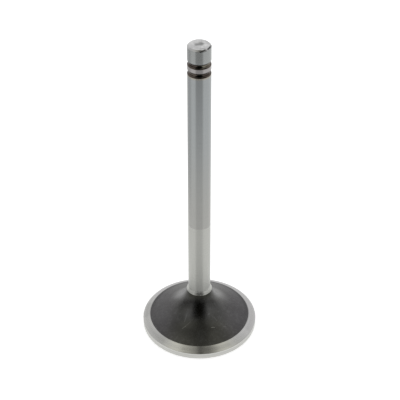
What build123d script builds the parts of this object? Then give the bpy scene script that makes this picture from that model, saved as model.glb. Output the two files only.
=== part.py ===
"""Engine poppet valve with a two-groove stem.

The valve is one piece of valve steel, turned and ground about a single axis,
so one half-section carries its whole form. It stands on its combustion face.
The origin is the centre of that face, and +Z runs up the stem to the tip.
Lengths are in millimetres and angles in degrees.
"""

from build123d import *

import os
from math import radians, sqrt, tan

# Whole valve
overall_length = 119.0
head_diameter = 41.8
stem_diameter = 8.0

# Head, from the combustion face upwards
face_chamfer = 0.3
margin_height = 2.35  # upright rim between the combustion face and the seat
seat_angle = 30.0  # cone that closes on the seat insert, from the plane of the head
seat_width = 3.0  # along that cone
back_angle = 25.0  # cone from the seat up to the neck, from the plane of the head
neck_radius = 15.0  # hollow that runs from that cone into the stem

# Run-out: the stem is forged a little thick, and grinding stops at a ridge in the neck
forging_allowance = 0.1  # extra radius that the stem is forged with
runout_step = 0.6  # from the ground stem out to the ridge
runout_radius = 2.8  # rounded corner of the grinding wheel

# Keeper grooves, which hold the split collet of the spring retainer
groove_count = 2
groove_width = 1.65  # where a groove meets the surface of the stem
groove_depth = 0.6
groove_pitch = 3.35
groove_lip_radius = 0.12
tip_to_first_groove = 6.25  # from the tip to the middle of the top groove

# Tip
tip_chamfer = 0.5
tip_mark_diameter = 2.4  # shallow centre mark that the stem was ground from
tip_mark_depth = 0.12

head_radius = head_diameter / 2
stem_radius = stem_diameter / 2
forged_radius = stem_radius + forging_allowance
neck_turn = radians(90 - back_angle)


def arc_radius(width, depth):
    """Radius of the circle that cuts a hollow this wide and this deep into a flat."""
    return (width**2 / 4 + depth**2) / (2 * depth)


def longest_neck_radius(back_length, left_over=0.02):
    """Largest neck radius that leaves this share of a back cone of this length."""
    return (1 - left_over) * back_length / tan(neck_turn / 2)


def reach(radius, step):
    """How far along its tangent an arc of this radius has stepped this far away from it."""
    return sqrt(2 * radius * step - step**2)


with BuildPart() as valve:
    with BuildSketch(Plane.XZ) as half_section:
        # Straight runs of the section, outwards over the head and up the stem
        with BuildLine():
            face = Line((0, 0), (head_radius, 0))
            margin = Line(face @ 1, (head_radius, margin_height))
            seat = PolarLine(margin @ 1, seat_width, 180 - seat_angle)
            back = PolarLine(
                seat @ 1,
                (seat @ 1).X - forged_radius,
                180 - back_angle,
                length_mode=LengthMode.HORIZONTAL,
            )
            stem = Line(back @ 1, (forged_radius, overall_length))
            tip = Line(stem @ 1, (0, overall_length))
            Line(tip @ 1, face @ 0)
        make_face()

        # Forged neck
        forged_neck = min(neck_radius, longest_neck_radius(back.length))
        fillet(half_section.vertices().sort_by_distance(back @ 1)[0], forged_neck)

        # Ground stem: the wheel takes the forged stock off, down to a ridge in the neck
        neck_top = (back @ 1).Y + forged_neck * tan(neck_turn / 2)
        ridge_height = neck_top - reach(forged_neck, runout_step - forging_allowance)
        runout_top = ridge_height + reach(runout_radius, runout_step)
        with Locations((stem_radius + runout_radius, runout_top)):
            Circle(runout_radius, mode=Mode.SUBTRACT)
        with Locations((stem_radius, runout_top)):
            Rectangle(
                2 * runout_radius,
                overall_length - runout_top,
                align=(Align.MIN, Align.MIN),
                mode=Mode.SUBTRACT,
            )

        # Broken edges of the face and the tip
        corners = half_section.vertices()
        chamfer(corners.sort_by_distance(face @ 1)[0], face_chamfer)
        chamfer(corners.sort_by_distance((stem_radius, overall_length))[0], tip_chamfer)

        # Keeper grooves: round-bottomed, one pitch apart down the stem
        groove_radius = arc_radius(groove_width, groove_depth)
        groove_centre = stem_radius - groove_depth + groove_radius
        top_groove = overall_length - tip_to_first_groove
        groove_heights = [top_groove - n * groove_pitch for n in range(groove_count)]
        with Locations(*[(groove_centre, height) for height in groove_heights]):
            Circle(groove_radius, mode=Mode.SUBTRACT)
        fillet(half_section.vertices(Select.LAST), groove_lip_radius)

        # Centre mark in the tip
        mark_radius = arc_radius(tip_mark_diameter, tip_mark_depth)
        with Locations((0, overall_length - tip_mark_depth + mark_radius)):
            Circle(mark_radius, mode=Mode.SUBTRACT)
    revolve(axis=Axis.Z)

valve.part.label = "valve"

os.makedirs("parts", exist_ok=True)
export_step(valve.part, "parts/valve.step")
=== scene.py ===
"""Looks of the engine valve: one turned piece with its finishes, which stands for the CAD solid.

The floor, the light and the camera follow it. Lengths are in metres, and heights are measured
from the combustion face.
"""

from math import acos, asin, atan2, ceil, cos, degrees, hypot, pi, radians, sin, sqrt, tan

import bpy
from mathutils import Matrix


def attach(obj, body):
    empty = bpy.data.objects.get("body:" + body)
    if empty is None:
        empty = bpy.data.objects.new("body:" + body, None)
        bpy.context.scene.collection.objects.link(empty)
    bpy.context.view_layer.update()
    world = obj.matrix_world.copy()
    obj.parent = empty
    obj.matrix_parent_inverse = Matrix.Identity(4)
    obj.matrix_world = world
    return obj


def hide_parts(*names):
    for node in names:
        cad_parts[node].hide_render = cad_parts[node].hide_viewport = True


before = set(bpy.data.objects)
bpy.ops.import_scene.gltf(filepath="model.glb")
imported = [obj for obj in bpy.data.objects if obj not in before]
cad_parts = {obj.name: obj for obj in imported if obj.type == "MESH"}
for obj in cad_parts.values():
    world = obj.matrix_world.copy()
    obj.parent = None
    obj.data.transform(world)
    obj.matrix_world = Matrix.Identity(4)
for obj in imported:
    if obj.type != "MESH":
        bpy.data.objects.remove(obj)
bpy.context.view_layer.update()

MM = 0.001

# Sizes of the valve
overall_length = 119.0 * MM
head_radius = 20.9 * MM
stem_radius = 4.0 * MM
face_chamfer = 0.3 * MM
margin_height = 2.35 * MM
seat_angle = 30
seat_width = 3.0 * MM
back_angle = 25
neck_radius = 15.0 * MM
forging_allowance = 0.1 * MM  # extra radius that the neck is forged with, over the ground stem
runout_step = 0.6 * MM  # from the ground stem out to the ridge where the grinding stops in the neck
runout_radius = 2.8 * MM  # hollow that the grinding leaves there
groove_count = 2
groove_width = 1.65 * MM
groove_depth = 0.6 * MM
groove_pitch = 3.35 * MM
groove_lip_radius = 0.12 * MM
tip_to_first_groove = 6.25 * MM
tip_chamfer = 0.5 * MM
tip_mark_width = 2.4 * MM
tip_mark_depth = 0.12 * MM
edge_break = 0.06 * MM  # what deburring leaves on each turned edge

# Fineness of the turned mesh
sides = 256
longest_stretch = 1.5 * MM  # along a straight run of the section
touching = 1e-9  # stations nearer each other than this are one, and one this near the axis is on it
rim_share = 4  # stations of the edge between rim and seat that have the rim's finish

# Heights of the grooves and the tip, and where one finish gives way to the next
skin_top = 16.12 * MM  # upper edge of the dark skin on the neck
satin_top = 46.35 * MM  # upper edge of the satin part of the stem
upper_groove = overall_length - tip_to_first_groove
lower_groove = upper_groove - groove_pitch
tip = overall_length


def around(radius, bearing, height=0.0):
    """A point so far from the axis, at a bearing in degrees from the front towards +X."""
    turn = radians(bearing)
    return (radius * sin(turn), -radius * cos(turn), height)


def grey(level):
    """An opaque grey."""
    return (level, level, level, 1)


# Tones that several finishes share
bright_steel = grey(0.75)
dull_steel = grey(0.25)
scuffed_and_highlit_skin = grey(0.16)
darker_skin = grey(0.03)
soot = (0.007, 0.007, 0.005, 1)


# ----------------------------------------------------------------------- dabs

# A dab is a soft mark of another tone along a straight line. Each row gives its two ends, its width,
# its strength and its tone. An end is given by its distance from the axis, its bearing in degrees from
# the front and its height. The height is left out where a dab is laid in plan.

# Oxide in the grooves, with painted highlights in bronze tones on it, brightest at the glint
bronze_highlight = (0.22, 0.20, 0.16, 1)
brown_highlight = (0.20, 0.17, 0.14, 1)
pale_bronze_glint = (0.27, 0.26, 0.21, 1)
# height of the painted glint, the brightest of the painted highlights in the upper groove
glint = upper_groove - 0.24 * MM  # where the bronze is brightest in the upper groove
upper_wall = upper_groove - 0.68 * MM  # lower wall of the upper groove
lower_wall = lower_groove - 0.70 * MM  # lower wall of the lower groove
groove_dabs = [
    ((3.40 * MM, 12, upper_groove), (3.40 * MM, 62, upper_groove), 2.4 * MM, 0.80, bronze_highlight),
    ((3.40 * MM, -62, lower_groove), (3.40 * MM, -28, lower_groove), 2.0 * MM, 0.50, brown_highlight),
    ((3.45 * MM, -2, upper_groove), (3.45 * MM, 6, upper_groove), 1.8 * MM, 0.93, soot),
    ((3.80 * MM, -18, upper_wall), (3.80 * MM, 34, upper_wall), 0.8 * MM, 0.80, soot),
    ((3.45 * MM, 20, glint), (3.45 * MM, 31, glint), 1.0 * MM, 0.72, pale_bronze_glint),
    ((3.45 * MM, -3, lower_groove), (3.45 * MM, 8, lower_groove), 1.8 * MM, 0.93, soot),
    ((3.80 * MM, -24, lower_wall), (3.80 * MM, 30, lower_wall), 0.8 * MM, 0.64, soot),
]

# The tip: painted shade in the centre mark with a painted highlight beside it, and patchy round it
tip_dabs = [
    ((1.20 * MM, 10, tip), (2.30 * MM, 75, tip), 0.7 * MM, 0.50, grey(0.74)),
    ((0.95 * MM, -98, tip), (1.05 * MM, 122, tip), 2.1 * MM, 0.74, grey(0.20)),
    ((1.30 * MM, 152, tip), (1.30 * MM, 166, tip), 1.0 * MM, 0.40, grey(0.22)),
    ((0.90 * MM, 115, tip), (0.85 * MM, 58, tip), 1.3 * MM, 0.38, grey(0.22)),
    ((1.35 * MM, -68, tip), (0.95 * MM, -60, tip), 1.1 * MM, 0.38, grey(0.22)),
    ((2.60 * MM, -55, tip), (2.30 * MM, -5, tip), 2.4 * MM, 0.30, grey(0.38)),
    ((2.50 * MM, 16, tip), (3.40 * MM, 42, tip), 0.5 * MM, 0.60, grey(0.34)),
    ((2.75 * MM, 8, tip), (2.85 * MM, 34, tip), 1.2 * MM, 0.54, grey(0.30)),
    ((3.30 * MM, -28, tip), (3.30 * MM, 14, tip), 1.0 * MM, 0.26, grey(0.30)),
    ((2.00 * MM, -62, tip), (1.10 * MM, 5, tip), 1.3 * MM, 0.22, grey(0.30)),
    ((3.50 * MM, -122, tip), (2.20 * MM, -165, tip), 1.6 * MM, 0.34, grey(0.84)),
    ((3.30 * MM, 138, tip), (3.10 * MM, 112, tip), 1.6 * MM, 0.30, grey(0.30)),
]

# Darker and paler patches across the broken edge of the tip, which run on to the tip and the stem
pale_edge_tone = grey(0.90)
dark_edge_tone = grey(0.045)
edge_dabs = [
    ((3.77 * MM, -11, tip - 0.29 * MM), (3.77 * MM, -4, tip - 0.29 * MM), 0.80 * MM, 0.60, pale_edge_tone),
    ((3.95 * MM, 6, tip - 0.50 * MM), (3.67 * MM, 30, tip - 0.17 * MM), 0.80 * MM, 0.90, dark_edge_tone),
    ((3.90 * MM, 17, tip - 0.50 * MM), (3.88 * MM, 35, tip - 0.46 * MM), 0.75 * MM, 0.55, dark_edge_tone),
    ((3.70 * MM, 48, tip - 0.25 * MM), (3.70 * MM, 66, tip - 0.20 * MM), 0.80 * MM, 0.90, dark_edge_tone),
    ((3.70 * MM, 66, tip - 0.20 * MM), (3.90 * MM, 92, tip - 0.45 * MM), 1.00 * MM, 0.75, dark_edge_tone),
]

# Darker patches on the ring of bare steel above the dark skin, most of them at the front
darker_ring_tone = (0.200, 0.203, 0.190, 1)
ring_dabs = [
    ((4.30 * MM, -8, 16.95 * MM), (4.30 * MM, 14, 16.95 * MM), 1.5 * MM, 0.46, darker_ring_tone),
    ((4.30 * MM, 2, 17.10 * MM), (4.45 * MM, 9, 16.60 * MM), 0.7 * MM, 0.34, darker_ring_tone),
    ((4.05 * MM, -17, 17.70 * MM), (4.05 * MM, 18, 17.60 * MM), 1.5 * MM, 0.26, darker_ring_tone),
    ((4.05 * MM, 4, 17.60 * MM), (4.10 * MM, 11, 17.30 * MM), 0.7 * MM, 0.40, darker_ring_tone),
    ((4.10 * MM, -88, 17.90 * MM), (4.10 * MM, -46, 17.70 * MM), 1.6 * MM, 0.28, darker_ring_tone),
    ((4.06 * MM, -58, 17.40 * MM), (4.06 * MM, -30, 17.60 * MM), 1.3 * MM, 0.24, darker_ring_tone),
    ((4.04 * MM, 24, 17.60 * MM), (4.04 * MM, 44, 17.50 * MM), 1.0 * MM, 0.28, darker_ring_tone),
]

# Darker, paler and scuffed parts of the skin, laid in plan, among them painted highlights on the flanks
# beside the neck and a painted dark reflection at the front
skin_dabs = [
    ((12.8 * MM, -38), (13.2 * MM, 0), 10.6 * MM, 0.50, darker_skin),
    ((11.0 * MM, 14), (11.4 * MM, 26), 6.5 * MM, 0.24, darker_skin),
    ((8.4 * MM, -30), (8.4 * MM, -8), 4.0 * MM, 0.22, scuffed_and_highlit_skin),
    ((7.9 * MM, 14), (8.2 * MM, 72), 5.0 * MM, 0.22, scuffed_and_highlit_skin),
    ((15.0 * MM, -108), (14.5 * MM, -74), 9.0 * MM, 0.16, scuffed_and_highlit_skin),
    ((14.0 * MM, 48), (14.5 * MM, 76), 8.0 * MM, 0.08, scuffed_and_highlit_skin),
    # painted highlights on both flanks beside the neck
    ((9.0 * MM, -112), (5.7 * MM, -84), 3.6 * MM, 0.36, scuffed_and_highlit_skin),
    ((5.7 * MM, 84), (7.0 * MM, 106), 3.6 * MM, 0.32, scuffed_and_highlit_skin),
    ((11.4 * MM, 20), (17.0 * MM, 33), 6.0 * MM, 0.26, darker_skin),
    ((13.6 * MM, 2), (16.2 * MM, 2), 4.0 * MM, 0.22, grey(0.12)),
    ((9.8 * MM, 48), (10.6 * MM, 72), 4.0 * MM, 0.10, scuffed_and_highlit_skin),
    # painted highlight on the left flank beside the neck
    ((6.7 * MM, -92), (6.7 * MM, -62), 3.4 * MM, 0.13, scuffed_and_highlit_skin),
    ((5.2 * MM, 30), (5.4 * MM, 54), 2.4 * MM, 0.24, darker_skin),
    # painted dark reflection in the middle of the neck at the front
    ((6.7 * MM, 0), (7.4 * MM, 0), 3.6 * MM, 0.36, (0.022, 0.017, 0.0, 1)),
]

# Thin scratches in the skin, laid in plan
scratched_skin = grey(0.42)
scratch_dabs = [
    ((13.1 * MM, -28.6), (12.0 * MM, -25.0), 0.45 * MM, 0.16, scratched_skin),
    ((12.0 * MM, -25.0), (10.2 * MM, -18.6), 0.42 * MM, 0.07, scratched_skin),
    ((12.2 * MM, 21.3), (12.5 * MM, 26.3), 0.38 * MM, 0.32, scratched_skin),
    ((8.3 * MM, 23.0), (8.1 * MM, 27.0), 0.60 * MM, 0.12, scratched_skin),
    ((9.6 * MM, 35.3), (10.7 * MM, 36.1), 0.50 * MM, 0.09, scratched_skin),
    ((13.5 * MM, 41.0), (13.9 * MM, 44.0), 0.45 * MM, 0.11, scratched_skin),
    ((8.8 * MM, -32.2), (10.6 * MM, -30.7), 0.60 * MM, 0.09, scratched_skin),
]

# Brighter and duller parts of the seat, laid in plan: painted highlights and painted shade
seat_dabs = [
    ((19.5 * MM, 38), (19.5 * MM, 60), 4.0 * MM, 0.24, bright_steel),
    ((19.6 * MM, -38), (19.6 * MM, -22), 3.0 * MM, 0.18, bright_steel),
    ((19.6 * MM, -106), (19.6 * MM, -88), 3.2 * MM, 0.26, dull_steel),
    ((19.6 * MM, -11), (19.6 * MM, -3.5), 3.6 * MM, 0.17, bright_steel),
    ((19.8 * MM, 10.5), (19.8 * MM, 17), 3.4 * MM, 0.20, dull_steel),
]


# ---------------------------------------------------------------- turned form

def station(centre, radius, normal):
    """A point of the section on an arc, with the direction it faces. A hollow has a negative radius."""
    facing = (cos(radians(normal)), sin(radians(normal)))
    return (centre[0] + radius * facing[0], centre[1] + radius * facing[1], *facing)


def arc(centre, radius, start, end, step=6):
    """Stations along an arc whose normal turns from start to end degrees."""
    count = max(2, ceil(abs(end - start) / step))
    return [station(centre, radius, start + (end - start) * k / count) for k in range(count + 1)]


def corner(point, before, after):
    """The arc that breaks an edge of the section, from the normals of the runs on each side."""
    reach = edge_break / (1 + cos(radians(before - after)))
    out = cos(radians(before)) + cos(radians(after))
    up = sin(radians(before)) + sin(radians(after))
    return arc((point[0] - reach * out, point[1] - reach * up), edge_break, before, after)


def arc_radius(width, depth):
    """Radius of the arc that cuts a hollow of this width and depth into a flat."""
    return (width ** 2 / 4 + depth ** 2) / (2 * depth)


def groove(middle):
    """Lower lip, round bottom and upper lip of one keeper groove."""
    bottom = arc_radius(groove_width, groove_depth)
    out = stem_radius - groove_depth + bottom
    lip = stem_radius - groove_lip_radius
    rise = sqrt((bottom + groove_lip_radius) ** 2 - (out - lip) ** 2)
    turn = degrees(atan2(rise, out - lip))
    return (
        arc((lip, middle - rise), groove_lip_radius, 0, turn)
        + arc((out, middle), -bottom, turn, -turn)
        + arc((lip, middle + rise), groove_lip_radius, -turn, 0)
    )


def tip_mark():
    """The shallow hollow in the middle of the tip, from its rim to the axis."""
    ball = arc_radius(tip_mark_width, tip_mark_depth)
    slope = degrees(asin(tip_mark_width / 2 / ball))
    centre = (0, overall_length - tip_mark_depth + ball)
    return arc(centre, -ball, 90 + slope, 90, step=3)


def section():
    """Stations from the middle of the face to the middle of the tip, as runs of one finish."""
    seat_in = head_radius - seat_width * cos(radians(seat_angle))
    seat_top = margin_height + seat_width * sin(radians(seat_angle))
    forged_radius = stem_radius + forging_allowance
    neck_foot = seat_top + (seat_in - forged_radius) * tan(radians(back_angle))
    facing_seat, facing_back = 90 - seat_angle, 90 - back_angle
    neck_top = neck_foot + neck_radius * tan(radians(facing_back / 2))
    facing_neck = degrees(acos(1 - (runout_step - forging_allowance) / neck_radius))
    facing_runout = degrees(acos(1 - runout_step / runout_radius))
    ridge_height = neck_top - neck_radius * sin(radians(facing_neck))
    runout_top = ridge_height + runout_radius * sin(radians(facing_runout))
    neck_centre = (forged_radius + neck_radius, neck_top)
    runout_centre = (stem_radius + runout_radius, runout_top)

    face_edge = corner((head_radius - face_chamfer, 0), -90, -45)
    rim_foot = corner((head_radius, face_chamfer), -45, 0)
    rim_top = corner((head_radius, margin_height), 0, facing_seat)
    seat_edge = corner((seat_in, seat_top), facing_seat, facing_back)
    neck = arc(neck_centre, -neck_radius, facing_back, facing_neck, step=1)
    ridge = corner((stem_radius + runout_step, ridge_height), facing_neck, facing_runout)
    runout = arc(runout_centre, -runout_radius, facing_runout, 0, step=3)
    tip_foot = corner((stem_radius, overall_length - tip_chamfer), 0, 45)
    tip_edge = corner((stem_radius - tip_chamfer, overall_length), 45, 90)

    runs = [
        ("turned_face", [(0, 0, 0, -1)] + face_edge[:1]),
        ("ground_rim", face_edge + rim_foot + rim_top[:rim_share]),
        ("ground_seat", rim_top[rim_share - 1:] + seat_edge[:1]),
        ("forged_neck", seat_edge + neck[:-1] + ridge + runout[1:]),
    ]
    last = runout[-1]
    for n in reversed(range(groove_count)):
        cut = groove(upper_groove - n * groove_pitch)
        runs.append(("ground_stem", [last, cut[0]]))
        runs.append(("keeper_groove", cut))
        last = cut[-1]
    runs.append(("ground_stem", [last, tip_foot[0]]))
    runs.append(("ground_bevel", tip_foot + tip_edge[:-1]))
    runs.append(("ground_tip", tip_edge[-2:] + tip_mark()))
    return runs


def subdivided(stations):
    """The same run, with no straight stretch longer than the longest."""
    out = [stations[0]]
    for near, far in zip(stations, stations[1:]):
        gap = hypot(far[0] - near[0], far[1] - near[1])
        if gap < touching:
            continue
        pieces = max(1, ceil(gap / longest_stretch))
        for k in range(1, pieces + 1):
            share = k / pieces
            between = [a + (b - a) * share for a, b in zip(near, far)]
            size = hypot(between[2], between[3])
            out.append((between[0], between[1], between[2] / size, between[3] / size))
    return out


def turned(name, runs):
    """A closed mesh turned about Z, with the section's own normals, and the finish of each of its slots."""
    vertices, normals, faces, slots = [], [], [], []
    finishes = []
    below = None  # the ring before: its first vertex, its radius and height, and whether it is a point
    for finish, stations in runs:
        if finish not in finishes:
            finishes.append(finish)
        for out, up, facing_out, facing_up in subdivided(stations):
            if below is not None and hypot(out - below[1], up - below[2]) < touching:
                continue
            first = len(vertices)
            on_axis = out < touching
            for k in range(1 if on_axis else sides):
                turn = 2 * pi * k / sides
                vertices.append((out * cos(turn), out * sin(turn), up))
                normals.append((facing_out * cos(turn), facing_out * sin(turn), facing_up))
            if below is not None:
                start = below[0]
                for k in range(sides):
                    after = (k + 1) % sides
                    if below[3]:
                        faces.append((start, first + after, first + k))
                    elif on_axis:
                        faces.append((start + k, start + after, first))
                    else:
                        faces.append((start + k, start + after, first + after, first + k))
                    slots.append(finishes.index(finish))
            below = (first, out, up, on_axis)
    mesh = bpy.data.meshes.new(name)
    mesh.from_pydata(vertices, [], faces)
    mesh.polygons.foreach_set("material_index", slots)
    mesh.polygons.foreach_set("use_smooth", [True] * len(faces))
    mesh.normals_split_custom_set_from_vertices(normals)
    piece = bpy.data.objects.new(name, mesh)
    bpy.context.scene.collection.objects.link(piece)
    return piece, finishes


# ---------------------------------------------------------------------- nodes

class Value:
    """One output of a node. Arithmetic on it adds Math nodes to the same tree."""

    def __init__(self, tree, socket):
        self.tree, self.socket = tree, socket

    def __add__(self, other):
        return self.tree.maths("ADD", self, other)

    def __sub__(self, other):
        return self.tree.maths("SUBTRACT", self, other)

    def __rsub__(self, other):
        return self.tree.maths("SUBTRACT", other, self)

    def __mul__(self, other):
        return self.tree.maths("MULTIPLY", self, other)

    def __abs__(self):
        return self.tree.maths("ABSOLUTE", self)

    __radd__ = __add__
    __rmul__ = __mul__


class Tree:
    """The node tree of a material or of the world."""

    def __init__(self, owner):
        owner.use_nodes = True
        self.nodes, self.links = owner.node_tree.nodes, owner.node_tree.links
        self.nodes.clear()

    def node(self, kind, settings=None, sockets=None, output=0):
        """Adds a node: its settings first, then the values or links of its sockets."""
        made = self.nodes.new(kind)
        for name, setting in (settings or {}).items():
            setattr(made, name, setting)
        for name, term in (sockets or {}).items():
            if isinstance(term, Value):
                self.links.new(term.socket, made.inputs[name])
            else:
                made.inputs[name].default_value = term
        return Value(self, made.outputs[output]) if made.outputs else None

    def maths(self, operation, *terms):
        return self.node("ShaderNodeMath", {"operation": operation}, dict(enumerate(terms)))

    def vectors(self, operation, *terms, output=0):
        return self.node("ShaderNodeVectorMath", {"operation": operation}, dict(enumerate(terms)), output)

    def scaled(self, vector, scale):
        """A vector or a colour times a number."""
        return self.node("ShaderNodeVectorMath", {"operation": "SCALE"}, {0: vector, "Scale": scale})

    def axes(self, where):
        """The x, y and z of a point or a direction."""
        return [self.node("ShaderNodeSeparateXYZ", sockets={0: where}, output=axis) for axis in "XYZ"]

    def length(self, x, y):
        """How far a point in plan is from the middle."""
        return self.maths("SQRT", x * x + y * y)

    def bearing(self, x, y):
        """Angle from the front in radians, the same to the left and to the right."""
        return self.maths("ARCTAN2", abs(x), 0 - y)

    def ray(self, kind):
        """1 for rays of this kind, 0 for the others."""
        return self.node("ShaderNodeLightPath", output=f"Is {kind} Ray")

    def step(self, value, low, high):
        """0 below low, 1 above high and a smooth ramp between."""
        return self.node(
            "ShaderNodeMapRange",
            {"interpolation_type": "SMOOTHSTEP"},
            {"Value": value, "From Min": low, "From Max": high},
        )

    def band(self, value, rise, fall):
        """A step up over the first span of the value, and back down to 0 over the second."""
        return self.step(value, *rise) * (1 - self.step(value, *fall))

    def blend(self, mask, colour, other):
        """Colour where the mask is 0, the other where it is 1. Sockets 6 and 7 take the colours."""
        return self.node(
            "ShaderNodeMix",
            {"data_type": "RGBA"},
            {0: mask, 6: colour, 7: other},
            output=2,
        )

    def shaders(self, mask, surface, other):
        """The surface where the mask is 0, the other where it is 1."""
        return self.node("ShaderNodeMixShader", sockets={0: mask, 1: surface, 2: other})


class Turned(Tree):
    """A finish of the valve, with its place on it: height, distance from the axis, and turning marks."""

    def __init__(self, name):
        self.material = bpy.data.materials.new(name)
        super().__init__(self.material)
        self.place = self.node("ShaderNodeTexCoord", output="Object")
        self.x, self.y, self.height = self.axes(self.place)
        self.out = self.length(self.x, self.y)
        self.plan = self.vectors("MULTIPLY", self.place, (1, 1, 0))

    def marks(self, across, along, detail=3.0):
        """Turning marks: noise with so many waves per metre across the marks and along them."""
        where = self.node(
            "ShaderNodeCombineXYZ",
            sockets={0: self.x * along, 1: self.y * along, 2: (self.height - self.out) * across},
        )
        return self.node(
            "ShaderNodeTexNoise",
            sockets={"Vector": where, "Scale": 1.0, "Detail": detail, "Roughness": 0.6},
        )

    def mottle(self, waves, detail=3.0, roughness=0.55, distortion=0.0):
        """Even noise with so many waves per metre."""
        return self.node(
            "ShaderNodeTexNoise",
            sockets={
                "Vector": self.place,
                "Scale": waves,
                "Detail": detail,
                "Roughness": roughness,
                "Distortion": distortion,
            },
        )

    def line(self, where, start, end, width):
        """1 along the line between two points, falling to 0 at half its width."""
        run = [b - a for a, b in zip(start, end)]
        away = self.vectors("SUBTRACT", where, start)
        along = self.vectors("DOT_PRODUCT", away, run, output="Value")
        share = along * (1 / sum(part * part for part in run))
        share = self.maths("MINIMUM", self.maths("MAXIMUM", share, 0.0), 1.0)
        distance = self.vectors("DISTANCE", away, self.scaled(run, share), output="Value")
        return 1 - self.step(distance, width * 0.1, width * 0.5)

    def dabbed(self, tone, dabs, where=None):
        """The tone with dabs over it, one after the other. Without a place they are laid in the round."""
        for start, end, width, strength, other in dabs:
            mask = self.line(where or self.place, around(*start), around(*end), width)
            tone = self.blend(mask * strength, tone, other)
        return tone

    def bump(self, height, depth, strength):
        sockets = {"Height": height, "Distance": depth, "Strength": strength}
        return self.node("ShaderNodeBump", sockets=sockets)

    def steel(self, tone, rough, normal, anisotropic=0.0):
        """A metal surface. Its anisotropic gloss is that of marks that run round the axis."""
        return self.node(
            "ShaderNodeBsdfPrincipled",
            sockets={
                "Metallic": 1.0,
                "Base Color": tone,
                "Roughness": rough,
                "Anisotropic": anisotropic,
                "Anisotropic Rotation": 0.25,
                "Normal": normal,
            },
        )

    def finish(self, surface):
        self.node("ShaderNodeOutputMaterial", sockets={"Surface": surface})
        return self.material


# ------------------------------------------------------------------- finishes

def turned_face():
    """The combustion face, with the rings that facing it on the lathe leaves."""
    metal = Turned("turned_face")
    rings = metal.node(
        "ShaderNodeTexWave",
        {"wave_type": "RINGS", "rings_direction": "Z"},
        {"Vector": metal.place, "Scale": 900.0, "Distortion": 0.4, "Detail": 1.0},
        output=1,
    )
    fine = metal.marks(6000, 90)
    tone = metal.blend(rings * 0.5 + fine * 0.5, grey(0.55), grey(0.42))
    relief = metal.bump(rings * 0.6 + fine * 0.4, 0.008 * MM, 0.6)
    return metal.finish(metal.steel(tone, 0.25 + fine * 0.1, relief, anisotropic=0.5))


def ground_rim():
    """The upright rim of the head with its broken edges, and a painted highlight along its upper edge at
    the front.
    """
    metal = Turned("ground_rim")
    fine = metal.marks(5000, 120)
    upper_edge = metal.step(metal.height, margin_height - 0.60 * MM, margin_height - 0.15 * MM)
    front = 1 - metal.step(metal.y, -18 * MM, -10 * MM)
    tone = metal.blend(fine, (0.60, 0.60, 0.57, 1), (0.50, 0.50, 0.475, 1))
    # painted highlight along the upper edge at the front
    tone = metal.blend(upper_edge * front * 0.55, tone, (0.78, 0.78, 0.75, 1))
    relief = metal.bump(fine, 0.006 * MM, 0.5)
    return metal.finish(metal.steel(tone, 0.28 + fine * 0.1, relief, anisotropic=0.4))


def ground_seat():
    """The sealing cone, ground round the axis, with a faint duller band where it has closed on its ring.

    It is yellower at the front and pinker at the back, where its inner edge is dark.
    """
    metal = Turned("ground_seat")
    fine = metal.marks(7000, 90)
    broad = metal.marks(1200, 40, detail=2)
    contact = metal.band(metal.out, (18.9 * MM, 19.1 * MM), (20.0 * MM, 20.2 * MM))
    back = metal.step(metal.x * 0.6 + metal.y, -8 * MM, 6 * MM)
    pale = metal.blend(back, (0.56, 0.556, 0.540, 1), (0.562, 0.553, 0.552, 1))
    dark = metal.blend(back, (0.42, 0.418, 0.405, 1), (0.422, 0.415, 0.414, 1))
    tone = metal.blend(fine * 0.6 + broad * 0.4, pale, dark)
    tone = metal.blend(contact * 0.12, tone, dull_steel)
    # the seat dabs lay painted highlights and painted shade
    tone = metal.dabbed(tone, seat_dabs, metal.plan)
    inner_edge = (1 - metal.step(metal.out, 18.3 * MM, 18.9 * MM)) * metal.step(metal.y, -8 * MM, 2 * MM)
    tone = metal.blend(inner_edge * 0.5, tone, grey(0.16))
    rough = 0.18 + fine * 0.12 + contact * 0.03
    return metal.finish(metal.steel(tone, rough, metal.bump(fine, 0.006 * MM, 0.6), anisotropic=0.8))


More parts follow.
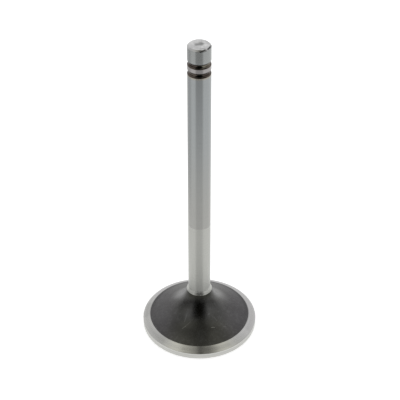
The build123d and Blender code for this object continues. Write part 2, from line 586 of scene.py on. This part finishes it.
def forged_neck():
    """Dark skin on the back of the head, and above it a ring of bare steel at the foot of the stem.

    The skin is cloudy, scuffed and scratched, with painted highlights on its flanks beside the neck and a
    painted dark reflection at its front. It carries painted shade below the ring, most of all in a strip at
    the front and another at the back, and is dark along its outer edge at the back.
    """
    metal = Turned("forged_neck")
    fine = metal.marks(6000, 150)
    cloud = metal.mottle(150, detail=4)
    speck = metal.mottle(900, detail=4, roughness=0.7)
    grain = metal.mottle(2600, detail=2)
    ragged = metal.height + (metal.mottle(700) - 0.5) * 0.2 * MM
    is_bare = metal.step(ragged, skin_top - 0.06 * MM, skin_top + 0.06 * MM)

    bare = metal.blend(fine, (0.58, 0.585, 0.553, 1), (0.48, 0.485, 0.457, 1))
    bare = metal.dabbed(bare, ring_dabs)
    ring = metal.steel(bare, 0.30 + fine * 0.1, metal.bump(fine, 0.005 * MM, 0.6), anisotropic=0.9)

    scuffs = metal.step(speck, 0.45, 0.75)
    front = metal.blend(cloud, (0.063, 0.062, 0.058, 1), (0.095, 0.094, 0.089, 1))
    flank = metal.blend(cloud, (0.064, 0.062, 0.064, 1), (0.097, 0.093, 0.096, 1))
    tone = metal.blend(metal.step(abs(metal.x), 5 * MM, 14 * MM), front, flank)
    tone = metal.blend(scuffs * 0.42, tone, scuffed_and_highlit_skin)
    # the dabs lay painted highlights beside the neck and a painted dark reflection at the front
    tone = metal.dabbed(tone, skin_dabs, metal.plan)
    # painted shade below the ring, darkest in a strip at the front and one at the back
    shade_below_ring = metal.step(metal.height, skin_top - 2.8 * MM, skin_top - 0.1 * MM)
    shade_below_ring = shade_below_ring * (1 - metal.step(abs(metal.x), 3.2 * MM, 5.0 * MM) * 0.75)
    tone = metal.blend(shade_below_ring * 0.6, tone, (0.020, 0.021, 0.012, 1))
    outer_edge = metal.step(metal.out, 16.6 * MM, 17.7 * MM) * metal.step(metal.y, -4 * MM, 17 * MM)
    tone = metal.blend(outer_edge * 0.80, tone, grey(0.02))
    tone = metal.dabbed(tone, scratch_dabs, metal.plan)
    rough = 0.25 + grain * 0.06 + scuffs * 0.06
    skin = metal.steel(tone, rough, metal.bump(grain * 0.5 + speck * 0.5, 0.014 * MM, 0.5))
    return metal.finish(metal.shaders(is_bare, skin, ring))


def ground_stem():
    """Centreless-ground steel: cool at the tip end, warmer down the stem, paler and satin near the neck.

    Oxide creeps over the upper lip of each groove, and below the lower groove there is a straw tint.
    """
    metal = Turned("ground_stem")
    fine = metal.marks(9000, 120)
    broad = metal.marks(700, 60, detail=2)
    ragged = metal.height + (broad - 0.5) * 0.6 * MM
    satin = 1 - metal.step(ragged, satin_top - 0.4 * MM, satin_top + 0.4 * MM)
    cool = metal.step(metal.height, satin_top, 95 * MM)
    tip_end = metal.step(metal.height, upper_groove, tip - 4 * MM)
    land = metal.band(
        metal.height,
        (lower_groove, lower_groove + 1 * MM),
        (upper_groove - 1 * MM, upper_groove),
    )
    straw = metal.band(
        metal.height,
        (lower_groove - 1.8 * MM, lower_groove - 1.1 * MM),
        (lower_groove - 0.4 * MM, lower_groove),
    )
    ground = metal.blend(cool, (0.384, 0.385, 0.366, 1), (0.354, 0.373, 0.376, 1))
    ground = metal.blend(tip_end, ground, (0.376, 0.390, 0.385, 1))
    ground = metal.blend(land, ground, (0.384, 0.366, 0.360, 1))
    ground = metal.blend(straw * 0.9, ground, (0.392, 0.366, 0.314, 1))
    for middle in (upper_groove, lower_groove):
        creep = metal.band(
            metal.height,
            (middle, middle + 0.2 * MM),
            (middle + 0.90 * MM, middle + 1.15 * MM),
        )
        ground = metal.blend(creep * 0.70, ground, soot)
    tone = metal.blend(satin, ground, (0.484, 0.489, 0.460, 1))
    foot = 1 - metal.step(metal.height, 19 * MM, 25 * MM)
    tone = metal.blend(foot * 0.12, tone, dull_steel)
    tone = metal.dabbed(tone, edge_dabs)
    tone = metal.blend((fine - 0.35) * (0.30 - satin * 0.22), tone, dull_steel)
    fine = fine * (1 - satin * 0.55)
    rough = 0.17 + satin * 0.092 + tip_end * 0.06 + fine * 0.08
    return metal.finish(metal.steel(tone, rough, metal.bump(fine, 0.003 * MM, 0.5), anisotropic=0.8))


def keeper_groove():
    """Brown-black oxide left in the grooves, thick at the front, with painted bronze highlights in places.
    """
    metal = Turned("keeper_groove")
    burnt = metal.mottle(900)
    tone = metal.blend(burnt, (0.060, 0.048, 0.040, 1), (0.115, 0.094, 0.082, 1))
    # the dabs lay painted bronze highlights and darker oxide
    tone = metal.dabbed(tone, groove_dabs)
    return metal.finish(metal.steel(tone, 0.20 + burnt * 0.12, metal.bump(burnt, 0.015 * MM, 0.4)))


def ground_bevel():
    """The broken edge of the tip, dark on one side and pale in one spot beside it."""
    metal = Turned("ground_bevel")
    fine = metal.marks(6000, 250)
    tone = metal.dabbed(metal.blend(fine, grey(0.56), grey(0.47)), edge_dabs)
    relief = metal.bump(fine, 0.006 * MM, 0.5)
    return metal.finish(metal.steel(tone, 0.30 + fine * 0.1, relief, anisotropic=0.4))


def ground_tip():
    """The end of the stem, ground flat and lightly marked by what presses on it, with painted shade in its
    centre mark and a painted highlight beside it.
    """
    metal = Turned("ground_tip")
    fine = metal.marks(6000, 250)
    patch = metal.step(metal.mottle(800, distortion=0.6), 0.35, 0.65)
    tone = metal.blend(patch * 0.7, grey(0.66), grey(0.48))
    # the tip dabs lay painted shade in the centre mark and a painted highlight beside it
    tone = metal.dabbed(tone, tip_dabs + edge_dabs)
    return metal.finish(metal.steel(tone, 0.26 + fine * 0.1, metal.bump(fine + patch, 0.010 * MM, 0.5)))


# ---------------------------------------------------------------------- piece

head_finishes = (turned_face, ground_rim, ground_seat, forged_neck)
stem_finishes = (ground_stem, keeper_groove, ground_bevel, ground_tip)
makers = {make.__name__: make for make in head_finishes + stem_finishes}
valve, finishes = turned("valve", section())
for finish in finishes:
    valve.data.materials.append(makers[finish]())
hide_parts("valve")
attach(valve, "root")


# --------------------------------------------------------------------- studio

def studio_world():
    """Plain white to the camera. In the metal it is a white room, dark behind the camera.

    x, y and z are the parts of the direction looked in, so z is 1 straight up.
    """
    world = bpy.data.worlds.new("studio")
    bpy.context.scene.world = world
    tree = Tree(world)
    x, y, z = tree.axes(tree.node("ShaderNodeTexCoord", output="Generated"))
    bearing = tree.bearing(x, y)

    # Walls: dark low on the left, brighter upwards and at the back, and nearly black behind the camera
    foot = tree.step(x, -0.2, 0.2) * 0.27
    side = foot + (0.70 - foot) * tree.step(z, -0.05, 0.52)
    wall = side + (0.92 - side) * tree.step(bearing, radians(99), radians(128))
    wall = wall * (1 - (1 - tree.step(bearing, radians(27), radians(49))) * 0.97)

    # Ceiling: dim in the middle and at the back, with a lamp on each side of the gantry at the front
    ahead = 1 - tree.step(y, -0.12, 0.10)
    gantry = tree.band(x, (-0.07, 0.0), (0.15, 0.27)) * 0.16
    boom = (1 - tree.step(abs(x - 0.010), 0.0, 0.06)) * 0.33
    lamps = tree.step(0 - x, 0.06, 0.29) * 0.28 + tree.step(x, 0.16, 0.36) * 0.20
    ceiling = 0.17 + (1 - tree.step(y, 0.05, 0.25)) * 0.26 + tree.step(abs(x), 0.22, 0.46) * 0.50
    ceiling = ceiling + (1 - tree.step(y, -0.04, 0.10)) * lamps - ahead * (gantry + boom)

    above = tree.step(z, 0.766, 0.90)
    room = wall + (ceiling - wall) * above
    warmth = tree.blend(above, (1, 1, 1, 1), (1, 0.99, 0.88, 1))

    # The camera sees white, the metal sees the room, and all else has even light
    seen_by_camera, seen_by_metal = tree.ray("Camera"), tree.ray("Glossy")
    others = seen_by_metal * room + (1 - seen_by_metal) * 0.95
    level = seen_by_camera + (1 - seen_by_camera) * others
    tint = tree.blend(seen_by_metal, (1, 1, 1, 1), warmth)
    light = tree.node("ShaderNodeBackground", sockets={"Color": tree.scaled(tint, level)})
    tree.node("ShaderNodeOutputWorld", sockets={"Surface": light})
    world.cycles.sampling_method = "NONE"


def studio_floor():
    """A pale sweep under the valve. It holds the valve's shadow, and in the metal it dims to the front."""
    half = 3.0
    drop = 0.02 * MM  # keeps the floor clear of the combustion face
    corners = [(-half, -half, 0), (half, -half, 0), (half, half, 0), (-half, half, 0)]
    mesh = bpy.data.meshes.new("floor")
    mesh.from_pydata(corners, [], [(0, 1, 2, 3)])
    floor = bpy.data.objects.new("floor", mesh)
    floor.location.z = -drop
    bpy.context.scene.collection.objects.link(floor)
    material = bpy.data.materials.new("pale_sweep")
    tree = Tree(material)
    x, y, _ = tree.axes(tree.node("ShaderNodeTexCoord", output="Object"))
    out = tree.length(x, y)
    bearing = tree.bearing(x, y)

    # In the metal: white under the valve and at the back, dimmer at the front, on the left and far out
    gap = 1 - tree.step(bearing, radians(24), radians(44))
    shade = tree.band(out, (22 * MM, 28 * MM), (30 * MM, 50 * MM))
    near = tree.step(out, 36 * MM, 56 * MM)
    middle = tree.step(out, 90 * MM, 200 * MM)
    far = tree.step(out, 200 * MM, 420 * MM)
    edge = far * (1 - tree.step(bearing, radians(100), radians(140))) * 0.57
    left = tree.step(0 - x, 10 * MM, 40 * MM) * tree.step(out, 50 * MM, 115 * MM)
    left = left * tree.band(bearing, (radians(72), radians(98)), (radians(138), radians(165)))
    tone = 1 - edge - left * 0.24 - gap * (shade * 0.36 + near * 0.15 + middle * 0.30 + far * 0.3)
    tone = tree.maths("MAXIMUM", tone, 0.0)
    mirrored = tree.node("ShaderNodeEmission", sockets={"Color": tone, "Strength": 1.0})

    # To the camera: paper with the shadow on it, lifted towards white, and nothing from underneath
    paper = tree.node("ShaderNodeBsdfDiffuse", sockets={"Color": (0.86, 0.86, 0.86, 1)})
    glow = tree.blend(tree.ray("Camera"), grey(0), grey(0.42))
    lift = tree.node("ShaderNodeEmission", sockets={"Color": glow, "Strength": 1.0})
    seen = tree.node("ShaderNodeAddShader", sockets={0: paper, 1: lift})
    above = tree.shaders(tree.ray("Glossy"), seen, mirrored)
    underneath = tree.node("ShaderNodeNewGeometry", output="Backfacing")
    surface = tree.shaders(underneath, above, tree.node("ShaderNodeBsdfTransparent"))
    tree.node("ShaderNodeOutputMaterial", sockets={"Surface": surface})
    material.cycles.emission_sampling = "NONE"
    mesh.materials.append(material)


def camera():
    """A long lens that looks down on the valve from the front."""
    looking_down = 37.115  # degrees below level
    data = bpy.data.cameras.new("camera")
    data.lens = 118.34
    data.sensor_width = 36
    data.clip_start = 0.01
    eye = bpy.data.objects.new("camera", data)
    eye.location = (0.00024, -0.3664, 0.33375)
    eye.rotation_euler = (radians(90 - looking_down), 0, 0)
    bpy.context.scene.collection.objects.link(eye)
    bpy.context.scene.camera = eye


studio_world()
studio_floor()
camera()
bpy.context.scene.view_settings.view_transform = "Standard"
